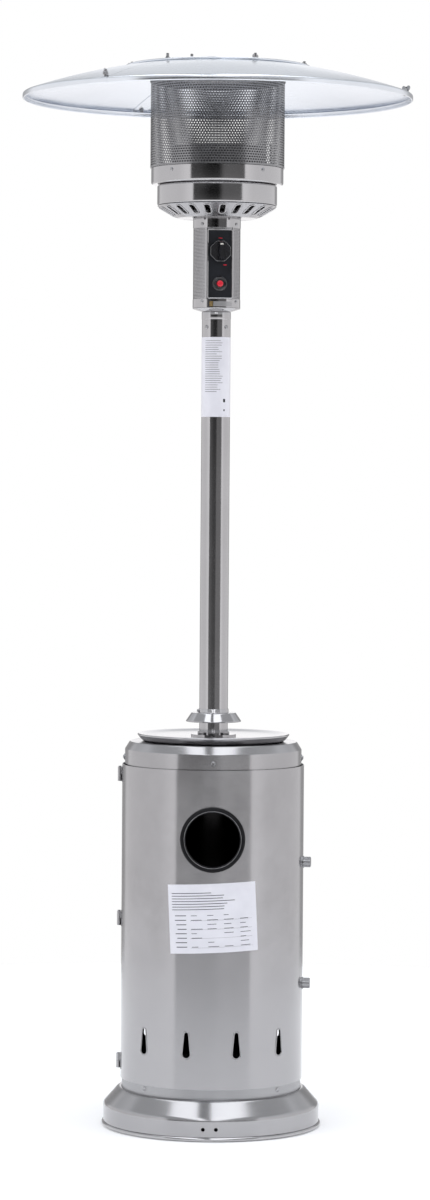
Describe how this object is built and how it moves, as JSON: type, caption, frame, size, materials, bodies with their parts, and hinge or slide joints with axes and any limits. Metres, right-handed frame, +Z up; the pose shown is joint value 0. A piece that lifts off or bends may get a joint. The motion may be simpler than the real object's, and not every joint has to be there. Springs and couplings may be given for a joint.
{
  "type": "patio heater",
  "caption": "Free-standing mushroom gas patio heater: round base, bottle housing with hinged door, post, control head, mesh emitter and domed reflector.",
  "frame": {"origin": "on the floor, on the post's axis", "axes": "+Z up along the post, -Y towards the door, +X to the right seen from the door's side"},
  "size_m": [0.813, 0.813, 2.2265],
  "materials": {
    "steel_brushed": "fine vertical satin",
    "steel_polished": "bright polished stainless",
    "steel_plain": "plain mill sheet",
    "fastener_steel": "zinc plated",
    "burner_steel": "heat darkened",
    "emitter_steel": "pierced mesh, slightly warm",
    "reflector_aluminium": "satin",
    "black_rubber": "matt moulded",
    "black_panel": "satin black",
    "black_plastic": "gloss moulded",
    "red_plastic": "gloss moulded",
    "label_film": "printed film",
    "brass_plain": "machined",
    "white_ceramic": "moulded"
  },
  "bodies": {
    "frame": {"base_pan": "steel_polished", "base_shell": "steel_brushed", "support_legs": "steel_plain", "leg_screws": "fastener_steel", "lower_ring": "steel_brushed", "housing_hoop": "steel_plain", "rear_shell": "steel_brushed", "shell_screws": "fastener_steel", "fixed_hinge_leaves": "steel_brushed", "hinge_pins": "fastener_steel", "catch_plates": "steel_plain", "tank_cover": "steel_brushed", "cover_screws": "fastener_steel", "cover_disc": "steel_brushed", "post_mount_plate": "steel_plain", "flange_bolts": "fastener_steel", "post": "steel_polished", "post_label": "label_film", "post_screws": "fastener_steel", "neck_adaptor": "steel_polished", "head_base": "steel_polished", "control_can": "steel_plain", "perforated_wrap": "steel_brushed", "head_bands": "steel_polished", "panel_frame": "steel_polished", "control_panel": "black_panel", "head_screws": "fastener_steel", "gas_valve": "brass_plain", "gas_pipe": "brass_plain", "gas_inlet": "brass_plain", "igniter_bezel": "black_plastic", "igniter_body": "white_ceramic", "air_bowl": "steel_polished", "lower_drum": "steel_polished", "upper_drum": "steel_polished", "drum_screws": "fastener_steel", "burner_tube": "steel_plain", "burner_head": "burner_steel", "pilot_assembly": "steel_plain", "emitter_screen": "emitter_steel", "emitter_cap": "steel_plain", "reflector_panel_left": "reflector_aluminium", "reflector_panel_right": "reflector_aluminium", "reflector_panel_rear": "reflector_aluminium", "reflector_disc": "reflector_aluminium", "reflector_bolts": "fastener_steel", "wing_nuts": "fastener_steel"},
    "door": {"door": "steel_brushed", "port_ring": "black_rubber", "housing_label": "label_film", "door_hinge_leaves": "steel_brushed", "turn_knob_washers": "fastener_steel"},
    "upper_knob": {"upper_turn_knob": "fastener_steel"},
    "lower_knob": {"lower_turn_knob": "fastener_steel"},
    "escutcheon": {"escutcheon": "steel_polished", "escutcheon_screw": "fastener_steel"},
    "spindle": {"valve_spindle": "brass_plain"},
    "gas_knob": {"control_knob": "black_plastic"},
    "igniter": {"igniter_button": "red_plastic"}
  },
  "joints": [
    {"name": "door_swing", "type": "hinge", "parent": "frame", "child": "door", "pos_m": [-0.1952, 0, 0.4285], "axis": [0, 0, -1], "range_deg": [0, 115]},
    {"name": "upper_knob_turn", "type": "hinge", "parent": "door", "child": "upper_knob", "pos_m": [0.18962, -0.01826, 0.554], "axis": [0.9954, -0.0958, 0], "range_deg": [0, 90]},
    {"name": "lower_knob_turn", "type": "hinge", "parent": "door", "child": "lower_knob", "pos_m": [0.18962, -0.01826, 0.3], "axis": [0.9954, -0.0958, 0], "range_deg": [0, 90]},
    {"name": "escutcheon_slide", "type": "slide", "parent": "frame", "child": "escutcheon", "axis": [0, 0, -1], "range_m": [0, 0.0285]},
    {"name": "gas_knob_turn", "type": "hinge", "parent": "frame", "child": "spindle", "pos_m": [0.00658, -0.04401, 1.826], "axis": [0.1478, -0.989, 0], "range_deg": [0, 180]},
    {"name": "gas_knob_press", "type": "slide", "parent": "spindle", "child": "gas_knob", "axis": [-0.1478, 0.989, 0], "range_m": [0, 0.004], "stiffness_N_per_m": 900, "springref_m": -0.001},
    {"name": "igniter_press", "type": "slide", "parent": "frame", "child": "igniter", "axis": [-0.1478, 0.989, 0], "range_m": [0, 0.005], "stiffness_N_per_m": 600, "springref_m": -0.001}
  ]
}
